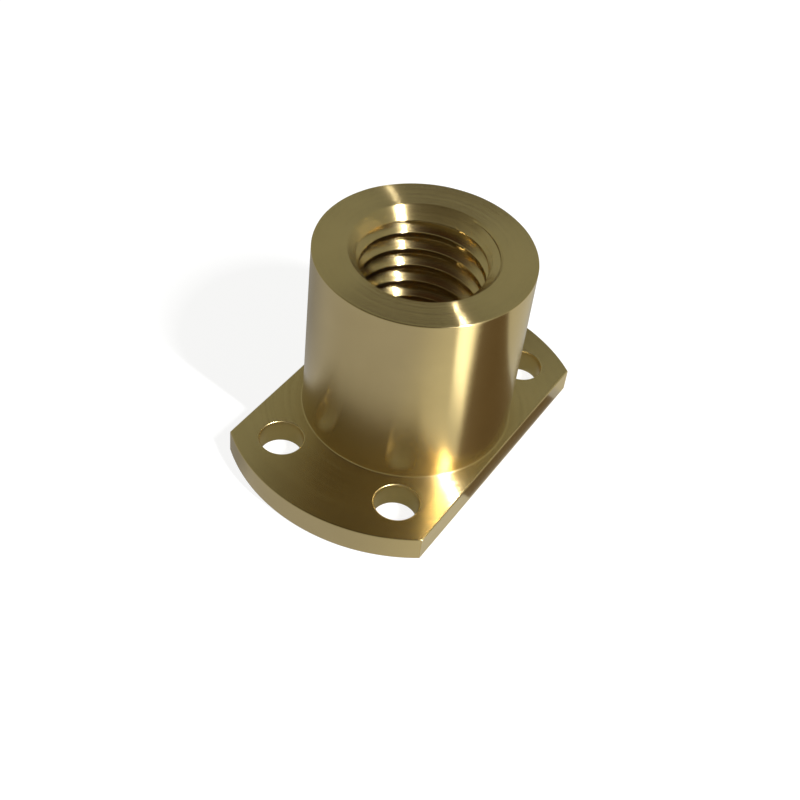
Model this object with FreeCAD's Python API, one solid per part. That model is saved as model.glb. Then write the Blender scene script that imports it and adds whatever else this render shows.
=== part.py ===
import FreeCAD, Part
import math
import os

# Flanged lead screw nut, turned and threaded from one piece of brass. Millimetres, +Z up.
# The origin is the centre of the flange's underside, the long side of the flange runs along X,
# and the screw's axis is Z.

# Barrel
barrel_diameter = 21.0
overall_height = 22.0
barrel_edge_break = 0.15
foot_corner = 0.2

# Flange: a disc with two sides milled flat
flange_diameter = 36.5
flange_across_flats = 22.4
flange_thickness = 2.7
flange_edge_break = 0.15

# Four plain screw holes, two at each rounded end
hole_diameter = 4.3
hole_spacing_long = 24.0
hole_spacing_short = 13.5

# Thread for the screw, single start, right hand, with a 45 degree mouth at each end
screw_diameter = 14.0
pitch = 2.0
crest_land = 0.6
mouth_diameter = 14.4
# Round the axis from +X, where the upper edge of a crest meets the inner edge of the upper mouth
thread_start = 278.0

# Worked out from the sizes above
barrel_radius = barrel_diameter / 2
flange_radius = flange_diameter / 2
root_radius = screw_diameter / 2
crest_radius = root_radius - pitch / 2
mouth_depth = mouth_diameter / 2 - crest_radius
half_opening = (pitch - crest_land) / 2
flank_slope = half_opening / (root_radius - crest_radius)

# How far a cutting shape runs past the surface that it cuts
overshoot = 1.0

TOP = FreeCAD.Vector(0, 0, 1)
ORIGIN = FreeCAD.Vector(0, 0, 0)


def ring_profile(points):
    """A closed face in the XZ plane from radius and height pairs."""
    corners = [FreeCAD.Vector(radius, 0, height) for radius, height in points]
    return Part.Face(Part.makePolygon(corners + corners[:1]))


def barrel():
    """The turned barrel from the underside to the top, with its rim broken."""
    rim = barrel_radius - barrel_edge_break
    shoulder = overall_height - barrel_edge_break
    profile = [(0, 0), (barrel_radius, 0), (barrel_radius, shoulder), (rim, overall_height), (0, overall_height)]
    return ring_profile(profile).revolve(ORIGIN, TOP, 360)


def flange():
    """The disc between its two flats, with its upper and lower edges broken."""
    disc = Part.makeCylinder(flange_radius, flange_thickness)
    corner = FreeCAD.Vector(-flange_radius, -flange_across_flats / 2, 0)
    band = Part.makeBox(flange_diameter, flange_across_flats, flange_thickness, corner)
    plate = disc.common(band)
    level = [edge for edge in plate.Edges if abs(edge.Vertexes[0].Z - edge.Vertexes[-1].Z) < 1e-6]
    return plate.makeChamfer(flange_edge_break, level)


def foot():
    """The narrow sloping ring that the turning tool leaves where the barrel stands on the flange."""
    return ring_profile([
        (barrel_radius - overshoot, flange_thickness - overshoot),
        (barrel_radius + foot_corner, flange_thickness - overshoot),
        (barrel_radius + foot_corner, flange_thickness),
        (barrel_radius, flange_thickness + foot_corner),
        (barrel_radius - overshoot, flange_thickness + foot_corner),
    ]).revolve(ORIGIN, TOP, 360)


def screw_hole(x, y):
    """One plain hole, as the drill that cuts it."""
    length = flange_thickness + 2 * overshoot
    return Part.makeCylinder(hole_diameter / 2, length, FreeCAD.Vector(x, y, -overshoot))


def bore():
    """The bore at the thread's crests with a 45 degree mouth at each end, made in four quarters."""
    outside = mouth_diameter / 2 + overshoot
    quarter = ring_profile([
        (0, -overshoot),
        (outside, -overshoot),
        (crest_radius, mouth_depth),
        (crest_radius, overall_height - mouth_depth),
        (outside, overall_height + overshoot),
        (0, overall_height + overshoot),
    ]).revolve(ORIGIN, TOP, 90)
    quarters = []
    for turn in range(4):
        piece = quarter.copy()
        piece.rotate(ORIGIN, TOP, 90 * turn)
        quarters.append(piece)
    return quarters[0].fuse(quarters[1:])


def groove_turn():
    """One turn of the groove, sharp at its bottom, swept along the helix with its open side past the bore's wall."""
    inner = crest_radius - crest_land / 4
    half_inner = half_opening + (crest_radius - inner) * flank_slope
    section = Part.makePolygon([
        FreeCAD.Vector(inner, 0, -half_inner),
        FreeCAD.Vector(root_radius, 0, 0),
        FreeCAD.Vector(inner, 0, half_inner),
        FreeCAD.Vector(inner, 0, -half_inner),
    ])
    helix = Part.Wire(Part.makeHelix(pitch, pitch, root_radius))
    return helix.makePipeShell([section], True, True)


def thread_groove():
    """The helical groove between the crests, turn on turn, which runs out past both ends."""
    meeting = overall_height - mouth_depth + half_opening
    turns_below = math.ceil(meeting / pitch) + 1
    turns_above = math.ceil((overall_height - meeting) / pitch) + 1
    turn = groove_turn()
    turn.rotate(ORIGIN, TOP, thread_start)
    turns = []
    for number in range(-turns_below, turns_above):
        piece = turn.copy()
        piece.translate(FreeCAD.Vector(0, 0, meeting + number * pitch))
        turns.append(piece)
    return turns[0].fuse(turns[1:])


def nut():
    body = barrel().fuse([flange(), foot()]).removeSplitter()
    for x in (-hole_spacing_long / 2, hole_spacing_long / 2):
        for y in (-hole_spacing_short / 2, hole_spacing_short / 2):
            body = body.cut(screw_hole(x, y))
    body = body.cut(bore())
    return body.cut(thread_groove())


os.makedirs("parts", exist_ok=True)
shape = nut()
shape.exportStep("parts/nut_body.step")
print("solids", len(shape.Solids), "valid", shape.isValid(), "volume", round(shape.Volume, 1))
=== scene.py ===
import math

import bmesh
import bpy
from mathutils import Matrix, Vector
from mathutils.geometry import delaunay_2d_cdt


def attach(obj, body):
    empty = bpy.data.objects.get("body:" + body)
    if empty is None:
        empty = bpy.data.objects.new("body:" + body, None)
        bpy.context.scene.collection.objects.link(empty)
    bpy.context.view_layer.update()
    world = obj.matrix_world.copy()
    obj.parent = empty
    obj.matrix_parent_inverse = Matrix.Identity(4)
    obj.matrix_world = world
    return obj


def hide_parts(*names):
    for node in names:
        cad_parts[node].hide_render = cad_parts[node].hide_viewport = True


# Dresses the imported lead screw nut: the same form with its fine edges and its true thread, in turned brass.
# Shapes are worked out in millimetres and made in metres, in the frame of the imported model, with the screw's
# axis on Z.

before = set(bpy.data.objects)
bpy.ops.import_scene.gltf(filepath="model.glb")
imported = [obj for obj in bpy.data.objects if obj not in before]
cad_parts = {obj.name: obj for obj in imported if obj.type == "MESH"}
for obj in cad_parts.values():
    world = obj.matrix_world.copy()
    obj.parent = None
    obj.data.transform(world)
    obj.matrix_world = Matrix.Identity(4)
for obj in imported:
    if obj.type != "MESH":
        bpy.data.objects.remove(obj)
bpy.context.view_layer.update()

MM = 0.001

# Sizes of the nut in millimetres, as in the part's source
BARREL_RADIUS = 10.5
HEIGHT = 22.0
FLANGE_RADIUS = 18.25
FLANGE_HALF_WIDTH = 11.2
FLANGE_THICKNESS = 2.7
HOLE_RADIUS = 2.15
HOLE_X = 12.0
HOLE_Y = 6.75
MOUTH_RADIUS = 7.2
MOUTH_ANGLE = math.radians(45)
CREST_RADIUS = 6.0
ROOT_RADIUS = 7.0
PITCH = 2.0
THREAD_START = math.radians(278)
MOUTH_DEPTH = MOUTH_RADIUS - CREST_RADIUS

# The groove: two flanks that lean from the level, with a narrow flat between them at the bottom
FLANK_LEAN = math.radians(30)
HALF_ROOT = PITCH / 16
HALF_OPENING = HALF_ROOT + (ROOT_RADIUS - CREST_RADIUS) * math.tan(FLANK_LEAN)

# Fine edges in millimetres
RIM_ROUND = 0.15
FLANGE_ROUND = 0.15
FOOT_ROUND = 0.2
HOLE_ROUND = 0.14
MOUTH_ROUND = 0.06
CREST_ROUND = 0.11
ROOT_ROUND = 0.05

# The largest share of its size by which an edge broken by hand grows narrower, and the waves round the axis
# that it follows, each with its count, its strength and its start
EDGE_WANDER = 0.45
EDGE_WAVES = ((5, 0.5, 1.0), (11, 0.3, 2.0), (19, 0.2, 0.0))

# How finely the shapes are divided
AROUND = 256
HOLE_AROUND = 96
ARC_STEPS = 56
FLAT_STEPS = 40
WALL_STEPS = 6
EDGE_STEPS = 4
HOLE_EDGE_STEPS = 3
LIP_STEPS = 2
TURN_STEPS = 160
CREST_STEPS = 3
ROOT_STEPS = 2

# How far the blank's bore lies inside the crests, in millimetres, and how many turns the tap has to spare
# below and above the thread
BORE_ALLOWANCE = 0.5
TURNS_BELOW = 2
TURNS_ABOVE = 3

# Points closer than this are one point, faces that meet at more than this angle meet at a sharp edge, a face
# whose normal rises by this much is level, and one within this much of the mouth's rise lies on its cone
SAME_POINT = 1e-7
SHARP_EDGE = math.radians(33)
LEVEL = 0.999
SAME_RISE = 0.01


def add_object(name, data):
    """Put a mesh, a light or a camera into the scene."""
    thing = bpy.data.objects.new(name, data)
    bpy.context.scene.collection.objects.link(thing)
    return thing


class Sheet:
    """Points in millimetres and faces between them, which grow into a mesh."""

    def __init__(self):
        self.points = []
        self.faces = []

    def loop(self, points):
        """Add points and return their numbers."""
        first = len(self.points)
        self.points.extend(points)
        return list(range(first, len(self.points)))

    def bridge(self, lower, upper):
        """Join two closed loops with the same count of points by a band of faces."""
        count = len(lower)
        for i in range(count):
            j = (i + 1) % count
            self.faces.append((lower[i], lower[j], upper[j], upper[i]))

    def bridge_all(self, loops):
        """Join each loop to the next one."""
        for lower, upper in zip(loops, loops[1:]):
            self.bridge(lower, upper)

    def fill(self, outer, holes):
        """Fill the level face between an outer loop and the loops of its holes."""
        rings = [outer] + holes
        used = [index for ring in rings for index in ring]
        number = {index: place for place, index in enumerate(used)}
        edges = [(number[a], number[b]) for ring in rings for a, b in zip(ring, ring[1:] + ring[:1])]
        outlines = [[self.points[index][:2] for index in ring] for ring in rings]
        flat = [Vector(point) for outline in outlines for point in outline]
        points, _, faces, origin, _, _ = delaunay_2d_cdt(flat, edges, [], 0, SAME_POINT)
        for face in faces:
            x = sum(points[i][0] for i in face) / len(face)
            y = sum(points[i][1] for i in face) / len(face)
            if within(x, y, outlines[0]) and not any(within(x, y, hole) for hole in outlines[1:]):
                self.faces.append(tuple(used[origin[i][0]] for i in face))

    def build(self, name):
        """Make a mesh object in metres, with its faces turned outward."""
        mesh = bpy.data.meshes.new(name)
        mesh.from_pydata([tuple(c * MM for c in point) for point in self.points], [], self.faces)
        mesh.validate()
        turn_outward(mesh)
        return add_object(name, mesh)


def within(x, y, outline):
    """Whether a point lies inside a closed outline."""
    inside = False
    for (ax, ay), (bx, by) in zip(outline, outline[1:] + outline[:1]):
        if (ay > y) != (by > y) and x < (bx - ax) * (y - ay) / (by - ay) + ax:
            inside = not inside
    return inside


def turn_outward(mesh):
    """Turn the faces of a mesh outward."""
    work = bmesh.new()
    work.from_mesh(mesh)
    bmesh.ops.recalc_face_normals(work, faces=work.faces)
    work.to_mesh(mesh)
    work.free()


def circle(radius, height, count=AROUND, x=0.0, y=0.0):
    """A level circle, round the axis unless another centre is given."""
    points = []
    for i in range(count):
        angle = 2 * math.pi * i / count
        points.append((x + radius * math.cos(angle), y + radius * math.sin(angle), height))
    return points


def quarter(steps):
    """Sine and cosine along a quarter round."""
    angles = [math.pi / 2 * i / steps for i in range(steps + 1)]
    return [(math.sin(a), math.cos(a)) for a in angles]


def edge_share(angle):
    """How much of its full size an edge has at an angle round the axis: a slow wander below 1."""
    wave = sum(strength * math.sin(count * angle + start) for count, strength, start in EDGE_WAVES)
    return 1 - EDGE_WANDER * (1 + wave) / 2


def uneven_circle(radius, spread, height, rise):
    """A circle that leaves its radius and height by a spread and a rise whose size wanders."""
    points = []
    for i in range(AROUND):
        angle = 2 * math.pi * i / AROUND
        share = edge_share(angle)
        reach = radius + spread * share
        points.append((reach * math.cos(angle), reach * math.sin(angle), height + rise * share))
    return points


def flange_outline(inset, height):
    """The disc between its two flats, drawn in by a small inset whose size wanders."""
    corner = math.asin((FLANGE_HALF_WIDTH - inset) / (FLANGE_RADIUS - inset))
    reach = (FLANGE_RADIUS - inset) * math.cos(corner)
    points = []
    for side, sign in ((0.0, 1), (math.pi, -1)):
        for i in range(ARC_STEPS):
            angle = side - corner + 2 * corner * i / ARC_STEPS
            radius = FLANGE_RADIUS - inset * edge_share(angle)
            points.append((radius * math.cos(angle), radius * math.sin(angle), height))
        for i in range(FLAT_STEPS):
            along = reach * (1 - 2 * i / FLAT_STEPS)
            angle = side + math.atan2(FLANGE_HALF_WIDTH, along)
            half_width = FLANGE_HALF_WIDTH - inset * edge_share(angle)
            points.append((sign * along, sign * half_width, height))
    return points


def mouth(sheet, level, way):
    """The loops of a mouth, from the face over the rounded lip and down the cone to the blank's bore."""
    bore = CREST_RADIUS - BORE_ALLOWANCE
    tip = MOUTH_ROUND * math.tan(MOUTH_ANGLE / 2)
    loops = []
    for i in range(LIP_STEPS + 1):
        turn = MOUTH_ANGLE * i / LIP_STEPS
        radius = MOUTH_RADIUS + tip - MOUTH_ROUND * math.sin(turn)
        drop = MOUTH_ROUND * (1 - math.cos(turn))
        loops.append(sheet.loop(circle(radius, level - way * drop)))
    loops.append(sheet.loop(circle(bore, level - way * (MOUTH_RADIUS - bore))))
    return loops


def barrel_rim(sheet):
    """The loops over the barrel's rounded rim, from the top face outward."""
    loops = []
    for sine, cosine in quarter(EDGE_STEPS):
        inward = -RIM_ROUND * (1 - sine)
        loops.append(sheet.loop(uneven_circle(BARREL_RADIUS, inward, HEIGHT, -RIM_ROUND * (1 - cosine))))
    return loops


def barrel_foot(sheet):
    """The loops of the small hollow corner at the barrel's foot, from the barrel outward."""
    loops = []
    for sine, cosine in quarter(EDGE_STEPS):
        outward = FOOT_ROUND * (1 - cosine)
        rise = FOOT_ROUND * (1 - sine)
        loops.append(sheet.loop(uneven_circle(BARREL_RADIUS, outward, FLANGE_THICKNESS, rise)))
    return loops


def barrel_wall(sheet):
    """The loops that divide the barrel's wall between its rim and its foot."""
    top = HEIGHT - RIM_ROUND
    bottom = FLANGE_THICKNESS + FOOT_ROUND
    levels = [top + (bottom - top) * i / WALL_STEPS for i in range(1, WALL_STEPS)]
    return [sheet.loop(circle(BARREL_RADIUS, level)) for level in levels]


def through_flange(size, steps):
    """Inset and level down through the flange: over a rounded upper edge and round the lower one like it."""
    upper = [(size * (1 - sine), FLANGE_THICKNESS - size * (1 - cosine)) for sine, cosine in quarter(steps)]
    lower = [(inset, FLANGE_THICKNESS - level) for inset, level in reversed(upper)]
    return upper + lower


def flange_side(sheet):
    """The loops down the flange's side, from the upper face to the lower one."""
    path = through_flange(FLANGE_ROUND, EDGE_STEPS)
    return [sheet.loop(flange_outline(inset, level)) for inset, level in path]


def screw_hole(sheet, x, y):
    """The loops down one screw hole, from the upper face to the lower one."""
    path = through_flange(HOLE_ROUND, HOLE_EDGE_STEPS)
    return [sheet.loop(circle(HOLE_RADIUS + inset, level, HOLE_AROUND, x, y)) for inset, level in path]


def blank():
    """The nut before it is threaded, with a plain bore that the tap opens out."""
    sheet = Sheet()
    upper_mouth = mouth(sheet, HEIGHT, 1)
    lower_mouth = mouth(sheet, 0.0, -1)
    sheet.bridge_all(upper_mouth)
    sheet.bridge_all(lower_mouth)
    sheet.bridge(upper_mouth[-1], lower_mouth[-1])

    rim = barrel_rim(sheet)
    sheet.bridge_all(upper_mouth[:1] + rim)
    foot = barrel_foot(sheet)
    sheet.bridge_all(rim[-1:] + barrel_wall(sheet) + foot)

    side = flange_side(sheet)
    sheet.bridge_all(side)
    holes = []
    for x in (-HOLE_X, HOLE_X):
        for y in (-HOLE_Y, HOLE_Y):
            holes.append(screw_hole(sheet, x, y))
            sheet.bridge_all(holes[-1])
    sheet.fill(side[0], foot[-1:] + [hole[0] for hole in holes])
    sheet.fill(side[-1], lower_mouth[:1] + [hole[-1] for hole in holes])
    return sheet.build("nut_finished")


def thread_section():
    """Radius along one pitch of the tap that cuts the thread, from the middle of one crest to the next."""
    flank = math.pi / 2 - FLANK_LEAN
    crest_back = CREST_ROUND * math.tan(flank / 2)
    root_back = ROOT_ROUND * math.tan(flank / 2)
    side = []
    for i in range(CREST_STEPS + 1):
        turn = flank * i / CREST_STEPS
        along = -HALF_OPENING - crest_back + CREST_ROUND * math.sin(turn)
        side.append((along, CREST_RADIUS + CREST_ROUND * (1 - math.cos(turn))))
    for i in range(ROOT_STEPS + 1):
        turn = flank * (1 - i / ROOT_STEPS)
        along = -HALF_ROOT + root_back - ROOT_ROUND * math.sin(turn)
        side.append((along, ROOT_RADIUS - ROOT_ROUND * (1 - math.cos(turn))))
    other_side = [(-along, radius) for along, radius in reversed(side)]
    return [(-PITCH / 2, CREST_RADIUS)] + side + other_side


def tap():
    """A closed right-hand screw, longer than the nut, that leaves the thread when it is taken away."""
    section = thread_section()
    count = len(section)
    # Where a crest's upper edge meets the inner edge of the upper mouth
    meeting = HEIGHT - MOUTH_DEPTH + HALF_OPENING
    below = math.ceil(meeting / PITCH) + TURNS_BELOW
    turns = below + TURNS_ABOVE
    rows = turns * count
    sheet = Sheet()
    columns = []
    for i in range(TURN_STEPS):
        share = i / TURN_STEPS
        angle = THREAD_START + 2 * math.pi * share
        points = []
        for turn in range(turns):
            for along, radius in section:
                level = meeting + PITCH * (turn - below + share) + along
                points.append((radius * math.cos(angle), radius * math.sin(angle), level))
        columns.append(sheet.loop(points))
    for column, after in zip(columns, columns[1:]):
        for row in range(rows - 1):
            sheet.faces.append((column[row], after[row], after[row + 1], column[row + 1]))
    # The last column meets the first one a turn further up
    first, last = columns[0], columns[-1]
    for row in range(rows - count - 1):
        sheet.faces.append((last[row], first[row + count], first[row + count + 1], last[row + 1]))
    close_end(sheet, [column[0] for column in columns] + first[count:0:-1])
    close_end(sheet, [column[-1] for column in columns] + last[-2:-count - 2:-1])
    return sheet.build("tap")


def close_end(sheet, ring):
    """Close an open end with a fan from a point on the axis."""
    level = sum(sheet.points[index][2] for index in ring) / len(ring)
    centre = sheet.loop([(0.0, 0.0, level)])[0]
    for index, after in zip(ring, ring[1:] + ring[:1]):
        sheet.faces.append((centre, index, after))


def threaded_nut():
    """The blank with the thread cut into it, smooth across its rounds and sharp at its crisp edges."""
    piece = blank()
    cutter = tap()
    cut = piece.modifiers.new("thread", "BOOLEAN")
    cut.operation = "DIFFERENCE"
    cut.solver = "EXACT"
    cut.object = cutter
    apply_modifiers(piece)
    bpy.data.objects.remove(cutter)
    for polygon in piece.data.polygons:
        polygon.use_smooth = True
    piece.data.set_sharp_from_angle(angle=SHARP_EDGE)
    weigh = piece.modifiers.new("even_shading", "WEIGHTED_NORMAL")
    weigh.mode = "FACE_AREA"
    weigh.keep_sharp = True
    apply_modifiers(piece)
    level_normals(piece.data)
    return piece


def apply_modifiers(piece):
    """Turn a piece's modifiers into plain mesh."""
    bpy.context.view_layer.update()
    ready = piece.evaluated_get(bpy.context.evaluated_depsgraph_get())
    mesh = bpy.data.meshes.new_from_object(ready)
    mesh.name = piece.name
    piece.modifiers.clear()
    piece.data = mesh


def level_normals(mesh):
    """Give the level faces, and the small rounds where they meet them, a shading that is exactly level."""
    level = {}
    for polygon in mesh.polygons:
        if abs(polygon.normal.z) > LEVEL:
            for index in polygon.vertices:
                level[index] = math.copysign(1.0, polygon.normal.z)
    normals = [tuple(corner.vector) for corner in mesh.corner_normals]
    for polygon in mesh.polygons:
        for corner in polygon.loop_indices:
            way = level.get(mesh.loops[corner].vertex_index)
            if way and polygon.normal.z * way > math.cos(SHARP_EDGE):
                normals[corner] = (0.0, 0.0, way)
    mesh.normals_split_custom_set(normals)


# Materials

# Clean brass and the slightly duller brass that clouds it
BRASS = (0.60, 0.47, 0.23)
BRASS_DULL = (0.54, 0.42, 0.20)

# The clouds' count to a metre, their detail, and the least and greatest share of clean brass
CLOUD_SCALE = 160.0
CLOUD_DETAIL = 4.0
CLEAN_SHARE = (0.2, 1.0)

# The values between which a noise mostly lies, and the detail of the tool's lines
NOISE_RANGE = (0.3, 0.7)
LINE_DETAIL = 2.0

# The uneven gloss changes once in this many tool marks
MARKS_TO_A_BAND = 6

# How far the tool's path grows with the height, next to the distance from the axis
PATH_RISE = 0.8

# A quarter turn, which stretches a highlight across the marks instead of along them
STRETCH_ACROSS = 0.25

UP = (0.0, 0.0, 1.0)


def add_node(tree, kind, **settings):
    """A new node with its settings, such as its operation."""
    node = tree.nodes.new("ShaderNode" + kind)
    for name, value in settings.items():
        setattr(node, name, value)
    return node


def feed(tree, socket, value):
    """Give a socket another node's output, or a plain value."""
    if isinstance(value, bpy.types.NodeSocket):
        tree.links.new(value, socket)
    else:
        socket.default_value = value


def calculate(tree, kind, operation, *values):
    """A Math or VectorMath node that works on the given values."""
    node = add_node(tree, kind, operation=operation)
    for socket, value in zip(node.inputs, values):
        feed(tree, socket, value)
    return node


def surface_place(tree):
    """A point's place, its distance from the screw's axis and its height."""
    place = add_node(tree, "TexCoord").outputs["Object"]
    split = add_node(tree, "SeparateXYZ")
    feed(tree, split.inputs[0], place)
    level = add_node(tree, "CombineXYZ")
    feed(tree, level.inputs["X"], split.outputs["X"])
    feed(tree, level.inputs["Y"], split.outputs["Y"])
    distance = calculate(tree, "VectorMath", "LENGTH", level.outputs[0])
    return place, distance.outputs["Value"], split.outputs["Z"]


def line_noise(tree, path, step):
    """Uneven lines across the tool's path, about one to each step in millimetres."""
    scaled = calculate(tree, "Math", "MULTIPLY", path, 1 / (step * MM))
    noise = add_node(tree, "TexNoise", noise_dimensions="1D")
    feed(tree, noise.inputs["W"], scaled.outputs[0])
    feed(tree, noise.inputs["Scale"], 1.0)
    feed(tree, noise.inputs["Detail"], LINE_DETAIL)
    return noise.outputs["Fac"]


def spread(tree, value, low, high):
    """A noise value stretched onto a range."""
    fit = add_node(tree, "MapRange")
    feed(tree, fit.inputs["Value"], value)
    feed(tree, fit.inputs["From Min"], NOISE_RANGE[0])
    feed(tree, fit.inputs["From Max"], NOISE_RANGE[1])
    feed(tree, fit.inputs["To Min"], low)
    feed(tree, fit.inputs["To Max"], high)
    return fit.outputs["Result"]


def marked_normal(tree, marks, slope, across):
    """The surface's normal, tilted to and fro across the tool's marks by up to a given slope."""
    surface = add_node(tree, "NewGeometry")
    tilt = calculate(tree, "VectorMath", "SCALE", across)
    feed(tree, tilt.inputs["Scale"], spread(tree, marks, -slope, slope))
    tilted = calculate(tree, "VectorMath", "ADD", surface.outputs["Normal"], tilt.outputs["Vector"])
    unit = calculate(tree, "VectorMath", "NORMALIZE", tilted.outputs["Vector"])
    return unit.outputs["Vector"]


def turning_ways(tree, place):
    """The direction round the screw's axis, and the direction on the surface that crosses it."""
    around = calculate(tree, "VectorMath", "CROSS_PRODUCT", UP, place)
    around = around.outputs["Vector"]
    surface = add_node(tree, "NewGeometry")
    across = calculate(tree, "VectorMath", "CROSS_PRODUCT", surface.outputs["Normal"], around)
    unit = calculate(tree, "VectorMath", "NORMALIZE", across.outputs["Vector"])
    return around, unit.outputs["Vector"]


def blend_tones(tree, share, first, second):
    """A blend of two tones, or of a tone and another node's output, by a share from 0 to 1."""
    blend = add_node(tree, "Mix", data_type="RGBA")
    feed(tree, blend.inputs["A"], (*first, 1.0))
    feed(tree, blend.inputs["B"], second)
    feed(tree, blend.inputs["Factor"], share)
    return blend.outputs["Result"]


def brass_tone(tree, place):
    """Brass with faint duller clouds."""
    cloud = add_node(tree, "TexNoise")
    feed(tree, cloud.inputs["Vector"], place)
    feed(tree, cloud.inputs["Scale"], CLOUD_SCALE)
    feed(tree, cloud.inputs["Detail"], CLOUD_DETAIL)
    share = spread(tree, cloud.outputs["Fac"], *CLEAN_SHARE)
    return blend_tones(tree, share, BRASS_DULL, (*BRASS, 1.0))


def cut_brass(name, gloss, drawn_out, mark_step, mark_slope, turned=True):
    """Bare brass as a tool leaves it: marks along the cut, an uneven gloss and a slightly uneven tone.

    gloss is the roughness range, drawn_out how far the finest marks stretch a highlight across themselves,
    mark_step the larger marks' spacing in millimetres and mark_slope their steepest slope. On turned brass
    the marks run round the screw's axis, and on the rest they lie level."""
    material = bpy.data.materials.new(name)
    material.use_nodes = True
    tree = material.node_tree
    shader = tree.nodes["Principled BSDF"]
    shader.inputs["Metallic"].default_value = 1.0
    shader.inputs["Anisotropic"].default_value = drawn_out
    place, distance, height = surface_place(tree)
    feed(tree, shader.inputs["Base Color"], brass_tone(tree, place))
    if turned:
        path = calculate(tree, "Math", "MULTIPLY_ADD", height, PATH_RISE, distance).outputs[0]
        around, across = turning_ways(tree, place)
        feed(tree, shader.inputs["Tangent"], around)
        shader.inputs["Anisotropic Rotation"].default_value = STRETCH_ACROSS
    else:
        path = height
        across = UP
    bands = line_noise(tree, path, mark_step * MARKS_TO_A_BAND)
    feed(tree, shader.inputs["Roughness"], spread(tree, bands, *gloss))
    marks = line_noise(tree, path, mark_step)
    feed(tree, shader.inputs["Normal"], marked_normal(tree, marks, mark_slope, across))
    return material


def turned_brass():
    """The barrel's wall and the flange's round edge."""
    return cut_brass("turned_brass", gloss=(0.23, 0.24), drawn_out=0.8, mark_step=0.04, mark_slope=0.05)


def faced_brass():
    """The top face, turned from the middle outward, with fine even marks."""
    return cut_brass("faced_brass", gloss=(0.15, 0.16), drawn_out=1.0, mark_step=0.015, mark_slope=0.78)


def threaded_brass():
    """The thread, cut along the helix."""
    return cut_brass("threaded_brass", gloss=(0.15, 0.16), drawn_out=0.6, mark_step=0.02, mark_slope=0.13)


def milled_brass():
    """The flange's two flats."""
    return cut_brass(
        "milled_brass", gloss=(0.28, 0.36), drawn_out=0.0, mark_step=0.15, mark_slope=0.05, turned=False
    )


def drilled_brass():
    """The walls of the screw holes."""
    return cut_brass(
        "drilled_brass", gloss=(0.28, 0.36), drawn_out=0.0, mark_step=0.12, mark_slope=0.08, turned=False
    )


def flange_brass():
    """The flange's two faces, turned a little more coarsely."""
    return cut_brass("flange_brass", gloss=(0.24, 0.27), drawn_out=0.9, mark_step=0.02, mark_slope=0.9)


def mouth_brass():
    """The 45 degree mouths, cut a little less finely than the thread."""
    return cut_brass("mouth_brass", gloss=(0.20, 0.22), drawn_out=0.9, mark_step=0.02, mark_slope=0.40)


def paint(piece):
    """Give every face the brass of the tool that cut it."""
    finishes = {
        "turned": turned_brass(),
        "faced": faced_brass(),
        "threaded": threaded_brass(),
        "milled": milled_brass(),
        "drilled": drilled_brass(),
        "flange": flange_brass(),
        "mouth": mouth_brass(),
    }
    piece.data.materials.clear()
    for material in finishes.values():
        piece.data.materials.append(material)
    number = {finish: place for place, finish in enumerate(finishes)}
    for polygon in piece.data.polygons:
        polygon.material_index = number[finish_of(polygon)]


def finish_of(polygon):
    """The finish of one face."""
    x, y, z = (c / MM for c in polygon.center)
    rise = abs(polygon.normal.z)
    if rise > LEVEL:
        return "faced" if z > HEIGHT / 2 else "flange"
    if math.hypot(x, y) < MOUTH_RADIUS + MOUTH_ROUND:
        on_cone = abs(rise - math.cos(MOUTH_ANGLE)) < SAME_RISE
        return "mouth" if on_cone and min(z, HEIGHT - z) < MOUTH_DEPTH else "threaded"
    if abs(y) > FLANGE_HALF_WIDTH - FLANGE_ROUND:
        return "milled"
    if math.hypot(abs(x) - HOLE_X, abs(y) - HOLE_Y) < HOLE_RADIUS + HOLE_ROUND:
        return "drilled"
    return "turned"


# Studio

# The camera's place in metres and its angles were fitted to the photograph's edges. Its azimuth and its
# elevation say where it looks from, and its turn is round the line of sight.
CAMERA_PLACE = Vector((-0.083455, -0.043737, 0.095895))
CAMERA_AZIMUTH = 3.6305
CAMERA_ELEVATION = 0.7807
CAMERA_TURN = 0.129
CAMERA_LENS = 58.58
CAMERA_SENSOR = 36.0
CAMERA_REACH = (0.005, 50.0)

# The key light: its direction and distance from the nut, its width and height, its power, and the height on
# the nut that it faces, in metres and watts
KEY_AZIMUTH = math.radians(261)
KEY_ELEVATION = math.radians(45)
KEY_DISTANCE = 0.5
KEY_SIZE = (0.014, 0.12)
KEY_POWER = 5.2
KEY_AIM = 0.012

# The room's tone, the tone of its dim part, the direction of that part, and how far from there the dim tone
# is full and how far it reaches
ROOM = (0.345, 0.355, 0.285)
OVERHEAD = (0.04, 0.018, 0.008)
OVERHEAD_AZIMUTH = math.radians(150)
OVERHEAD_ELEVATION = math.radians(84)
OVERHEAD_CORE = math.radians(24)
OVERHEAD_END = math.radians(42)

# The floor and the wall behind it, in millimetres, and how strongly they glow
FLOOR_HALF = 1500
FLOOR_LEVEL = -0.02
FLOOR_BASE = 0.15
FLOOR_SPECULAR = 0.5
FLOOR_GLOW = 0.88
WALL_RADIUS = 1400
WALL_TOP = 3000
WALL_AROUND = 96
WALL_GLOW = 0.95
WHITE = (1.0, 1.0, 1.0)
DULL = 0.9

# Glowing tones the brass mirrors: the table, painted light and shade on it, and painted shade under the nut
TABLE = (0.52, 0.53, 0.55)
# Painted sheen of the key light on the table
TABLE_PAINTED_SHEEN = (0.82, 0.82, 0.72)
# Painted light on the table to the right of the nut
TABLE_RIGHT_PAINTED_LIGHT = (0.68, 0.67, 0.58)
# Painted shadow of the nut on the table
TABLE_SHADE = (0.34, 0.34, 0.34)
# Painted shade on the table in front of the nut and to its right
PAINTED_SHADE_FRONT = (0.15, 0.10, 0.045)
# Painted gleam of the key light on the table
PAINTED_GLEAM = (3.0, 3.0, 2.8)
# Painted shade on the table under the nut, seen through its screw holes
PAINTED_SHADE_UNDER_HOLES = (0.26, 0.25, 0.17)
# Deep painted shade on the table under the bore
PAINTED_SHADE_UNDER_BORE = (0.04, 0.025, 0.012)
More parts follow.
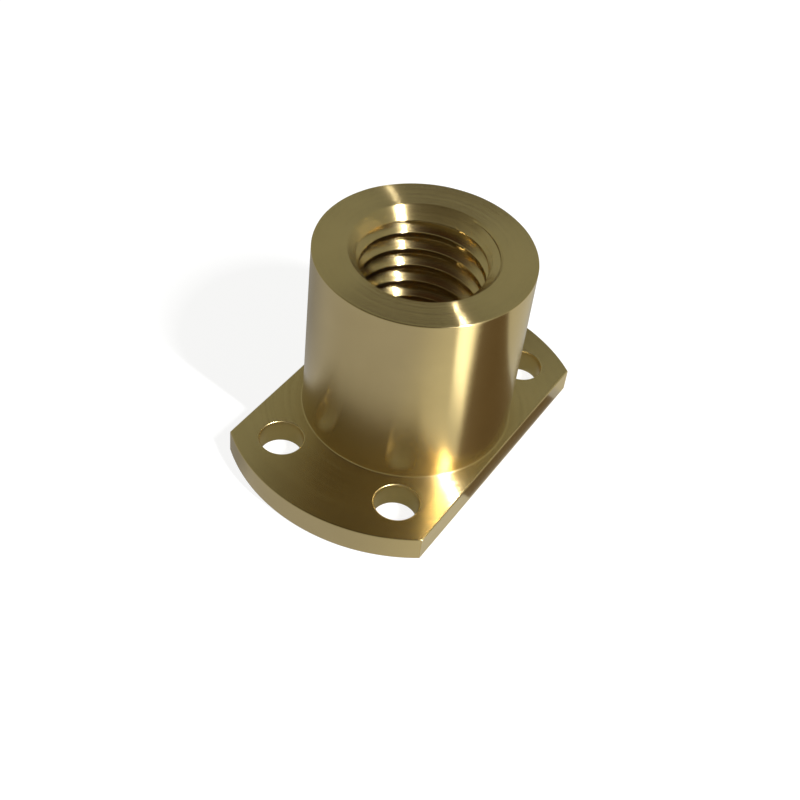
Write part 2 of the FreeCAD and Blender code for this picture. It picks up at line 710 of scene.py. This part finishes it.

# The table in millimetres and the patches of painted sheen and painted shadow on it: the centre, how far from
# it the patch's tone is full and how far it reaches, and the tone
TABLE_HALF = 1400
TABLE_LEVEL = -0.10
TABLE_PAINTED_LIGHT_AND_SHADE = (
    (-9, -27, 6, 28, TABLE_PAINTED_SHEEN),
    (8, 30, 8, 26, TABLE_SHADE),
    (-13, 11.5, 2.5, 6, TABLE_SHADE),
)

# The glowing cards of painted light and shade on the table in millimetres: name, corners, level and tone
CARDS = (
    # Painted light on the table to the right
    ("card_right_painted_light", ((14, -200), (200, -200), (200, 0), (14, -11)), -0.08, TABLE_RIGHT_PAINTED_LIGHT),
    # Painted shade in front of the nut
    ("card_painted_shade_front", ((-5, -11.4), (-5, -200), (37, -200), (12.5, -11.4)), -0.06, PAINTED_SHADE_FRONT),
    # Painted gleam of the key light
    ("card_painted_gleam", ((-5.8, -21.5), (-5, -60), (-26, -60), (-12.5, -25.5)), -0.05, PAINTED_GLEAM),
    # Painted shade under the nut
    ("card_shade_under_holes", ((-14, -10), (14, -10), (14, 10), (-14, 10)), -0.04, PAINTED_SHADE_UNDER_HOLES),
    # Deep painted shade under the bore
    ("card_shade_under_bore", ((-8, -8), (8, -8), (8, 8), (-8, 8)), -0.03, PAINTED_SHADE_UNDER_BORE),
)


def direction(around, rise):
    """A unit vector from an azimuth and an elevation in radians."""
    return Vector((math.cos(around) * math.cos(rise), math.sin(around) * math.cos(rise), math.sin(rise)))


def camera():
    """The camera at the photograph's viewing angle."""
    data = bpy.data.cameras.new("camera")
    data.lens = CAMERA_LENS
    data.sensor_width = CAMERA_SENSOR
    data.clip_start, data.clip_end = CAMERA_REACH
    seen = add_object("camera", data)
    back = direction(CAMERA_AZIMUTH, CAMERA_ELEVATION)
    right = Vector(UP).cross(back).normalized()
    up = back.cross(right)
    across = right * math.cos(CAMERA_TURN) + up * math.sin(CAMERA_TURN)
    above = up * math.cos(CAMERA_TURN) - right * math.sin(CAMERA_TURN)
    turn = Matrix((across, above, back)).transposed().to_4x4()
    seen.matrix_world = Matrix.Translation(CAMERA_PLACE) @ turn
    bpy.context.scene.camera = seen


def key_light():
    """A narrow upright soft light that draws the streaks on the turned brass."""
    data = bpy.data.lights.new("key", "AREA")
    data.shape = "RECTANGLE"
    data.size, data.size_y = KEY_SIZE
    data.energy = KEY_POWER
    lamp = add_object("key", data)
    way = direction(KEY_AZIMUTH, KEY_ELEVATION)
    lamp.location = Vector((0, 0, KEY_AIM)) + way * KEY_DISTANCE
    lamp.rotation_euler = way.to_track_quat("Z", "Y").to_euler()


def soft_step(tree, value, start, end):
    """A share that rises softly from 0 to 1 while a value goes from its start to its end."""
    step = add_node(tree, "MapRange", interpolation_type="SMOOTHSTEP")
    feed(tree, step.inputs["Value"], value)
    feed(tree, step.inputs["From Min"], start)
    feed(tree, step.inputs["From Max"], end)
    return step.outputs["Result"]


def sky():
    """A lit room with one dim part nearly overhead."""
    world = bpy.data.worlds.new("studio")
    bpy.context.scene.world = world
    world.use_nodes = True
    tree = world.node_tree
    place = add_node(tree, "TexCoord").outputs["Generated"]
    middle = direction(OVERHEAD_AZIMUTH, OVERHEAD_ELEVATION)
    nearness = calculate(tree, "VectorMath", "DOT_PRODUCT", place, middle).outputs["Value"]
    dimness = soft_step(tree, nearness, math.cos(OVERHEAD_END), math.cos(OVERHEAD_CORE))
    tone = blend_tones(tree, dimness, ROOM, (*OVERHEAD, 1.0))
    feed(tree, tree.nodes["Background"].inputs["Color"], tone)


def glowing(name, tone, strength=1.0, base=0.0, specular=0.0):
    """A dull material with its own light, which mirrors nothing unless it is given a specular level."""
    material = bpy.data.materials.new(name)
    material.use_nodes = True
    shader = material.node_tree.nodes["Principled BSDF"]
    shader.inputs["Base Color"].default_value = (base, base, base, 1.0)
    shader.inputs["Roughness"].default_value = DULL
    shader.inputs["Specular IOR Level"].default_value = specular
    shader.inputs["Emission Color"].default_value = (*tone, 1.0)
    shader.inputs["Emission Strength"].default_value = strength
    return material


def level_sheet(name, corners, height):
    """A flat piece of the studio, from its corners in millimetres."""
    mesh = bpy.data.meshes.new(name)
    mesh.from_pydata([(x * MM, y * MM, height * MM) for x, y in corners], [], [(0, 1, 2, 3)])
    piece = add_object(name, mesh)
    return piece


def square(half):
    """The corners of a square round the axis."""
    return ((-half, -half), (half, -half), (half, half), (-half, half))


def floor():
    """A plain pale floor, which the brass doesn't mirror."""
    ground = level_sheet("floor", square(FLOOR_HALF), FLOOR_LEVEL)
    ground.visible_glossy = False
    ground.data.materials.append(glowing("pale_floor", WHITE, FLOOR_GLOW, FLOOR_BASE, FLOOR_SPECULAR))


def backdrop():
    """A pale wall all round, which only the camera sees when it looks along the floor."""
    sheet = Sheet()
    foot = sheet.loop(circle(WALL_RADIUS, FLOOR_LEVEL, WALL_AROUND))
    sheet.bridge(foot, sheet.loop(circle(WALL_RADIUS, WALL_TOP, WALL_AROUND)))
    wall = sheet.build("backdrop")
    wall.visible_diffuse = False
    wall.visible_glossy = False
    wall.visible_shadow = False
    wall.data.materials.append(glowing("pale_wall", WHITE, WALL_GLOW))


def card(name, corners, height, tone):
    """A glowing card on the table that only the brass mirrors; its tone is painted into the brass's
    reflections.
    """
    piece = level_sheet(name, corners, height)
    piece.visible_camera = False
    piece.visible_diffuse = False
    piece.visible_shadow = False
    piece.data.materials.append(glowing(name, tone))
    return piece


def soft_patch(piece, x, y, near, far, tone):
    """Blend a card's tone into another one round a point, between two distances in millimetres."""
    tree = piece.data.materials[0].node_tree
    glow = tree.nodes["Principled BSDF"].inputs["Emission Color"]
    before = glow.links[0].from_socket if glow.is_linked else tuple(glow.default_value)
    place = add_node(tree, "TexCoord").outputs["Object"]
    away = calculate(tree, "VectorMath", "DISTANCE", place, (x * MM, y * MM, 0.0)).outputs["Value"]
    share = soft_step(tree, away, near * MM, far * MM)
    feed(tree, glow, blend_tones(tree, share, tone, before))


def table():
    """What the brass mirrors from below: a glowing table with painted sheen and shadow, and glowing cards."""
    top = card("card_table", square(TABLE_HALF), TABLE_LEVEL, TABLE)
    for x, y, near, far, tone in TABLE_PAINTED_LIGHT_AND_SHADE:
        soft_patch(top, x, y, near, far, tone)
    for name, corners, level, tone in CARDS:
        card(name, corners, level, tone)


nut = threaded_nut()
paint(nut)
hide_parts("nut_body")
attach(nut, "root")

camera()
key_light()
sky()
floor()
backdrop()
table()
bpy.context.scene.view_settings.view_transform = "Standard"
